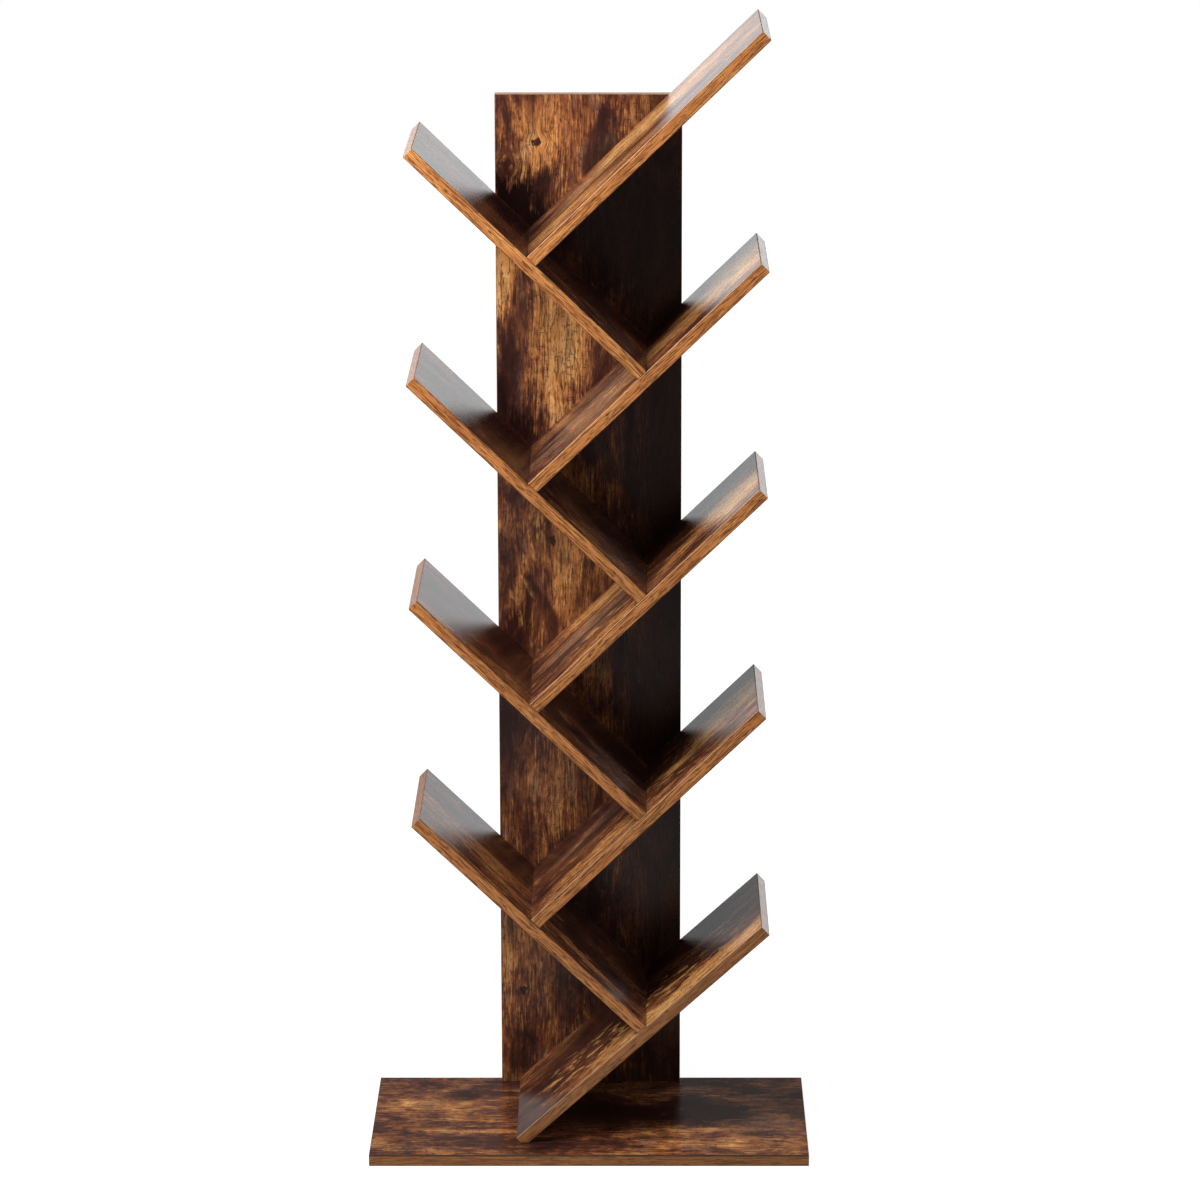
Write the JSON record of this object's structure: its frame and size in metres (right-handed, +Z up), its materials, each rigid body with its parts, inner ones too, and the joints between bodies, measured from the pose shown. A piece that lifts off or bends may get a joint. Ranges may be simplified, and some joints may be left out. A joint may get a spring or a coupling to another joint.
{
  "type": "tree shaped bookshelf",
  "caption": "Tree shaped bookshelf: inclined shelf boards zigzag up a tall back panel that stands on a flat base, leaving slanted spaces for books.",
  "frame": {"origin": "on the floor under the middle of the base board", "axes": "+Z up, the open front faces -Y, the back panel is on the +Y side, +X to the right seen from the front"},
  "size_m": [0.55, 0.27, 1.4151],
  "materials": {
    "laminate_board": "semi-gloss wood-grain laminate on board, rustic brown",
    "screw_steel": "zinc-plated, satin",
    "dowel_beech": "bare turned beech"
  },
  "bodies": {
    "root": {"base_board": "laminate_board", "back_panel": "laminate_board", "shelf_right_1": "laminate_board", "shelf_right_2": "laminate_board", "shelf_right_3": "laminate_board", "shelf_right_4": "laminate_board", "shelf_right_5": "laminate_board", "shelf_left_1": "laminate_board", "shelf_left_2": "laminate_board", "shelf_left_3": "laminate_board", "shelf_left_4": "laminate_board", "panel_screw_right_1_low": "screw_steel", "panel_screw_right_1_high": "screw_steel", "panel_screw_right_2_low": "screw_steel", "panel_screw_right_2_high": "screw_steel", "panel_screw_right_3_low": "screw_steel", "panel_screw_right_3_high": "screw_steel", "panel_screw_right_4_low": "screw_steel", "panel_screw_right_4_high": "screw_steel", "panel_screw_right_5_low": "screw_steel", "panel_screw_right_5_high": "screw_steel", "panel_screw_left_1_low": "screw_steel", "panel_screw_left_1_high": "screw_steel", "panel_screw_left_2_low": "screw_steel", "panel_screw_left_2_high": "screw_steel", "panel_screw_left_3_low": "screw_steel", "panel_screw_left_3_high": "screw_steel", "panel_screw_left_4_low": "screw_steel", "panel_screw_left_4_high": "screw_steel", "joint_screw_right_1": "screw_steel", "joint_screw_right_2": "screw_steel", "joint_screw_right_3": "screw_steel", "joint_screw_right_4": "screw_steel", "joint_screw_left_1": "screw_steel", "joint_screw_left_2": "screw_steel", "joint_screw_left_3": "screw_steel", "joint_screw_left_4": "screw_steel", "base_screw_left": "screw_steel", "base_screw_right": "screw_steel", "foot_screw_front": "screw_steel", "foot_screw_back": "screw_steel", "joint_dowel_right_1": "dowel_beech", "joint_dowel_right_2": "dowel_beech", "joint_dowel_right_3": "dowel_beech", "joint_dowel_right_4": "dowel_beech", "joint_dowel_left_1": "dowel_beech", "joint_dowel_left_2": "dowel_beech", "joint_dowel_left_3": "dowel_beech", "joint_dowel_left_4": "dowel_beech", "base_dowel_left": "dowel_beech", "base_dowel_right": "dowel_beech"}
  },
  "joints": []
}
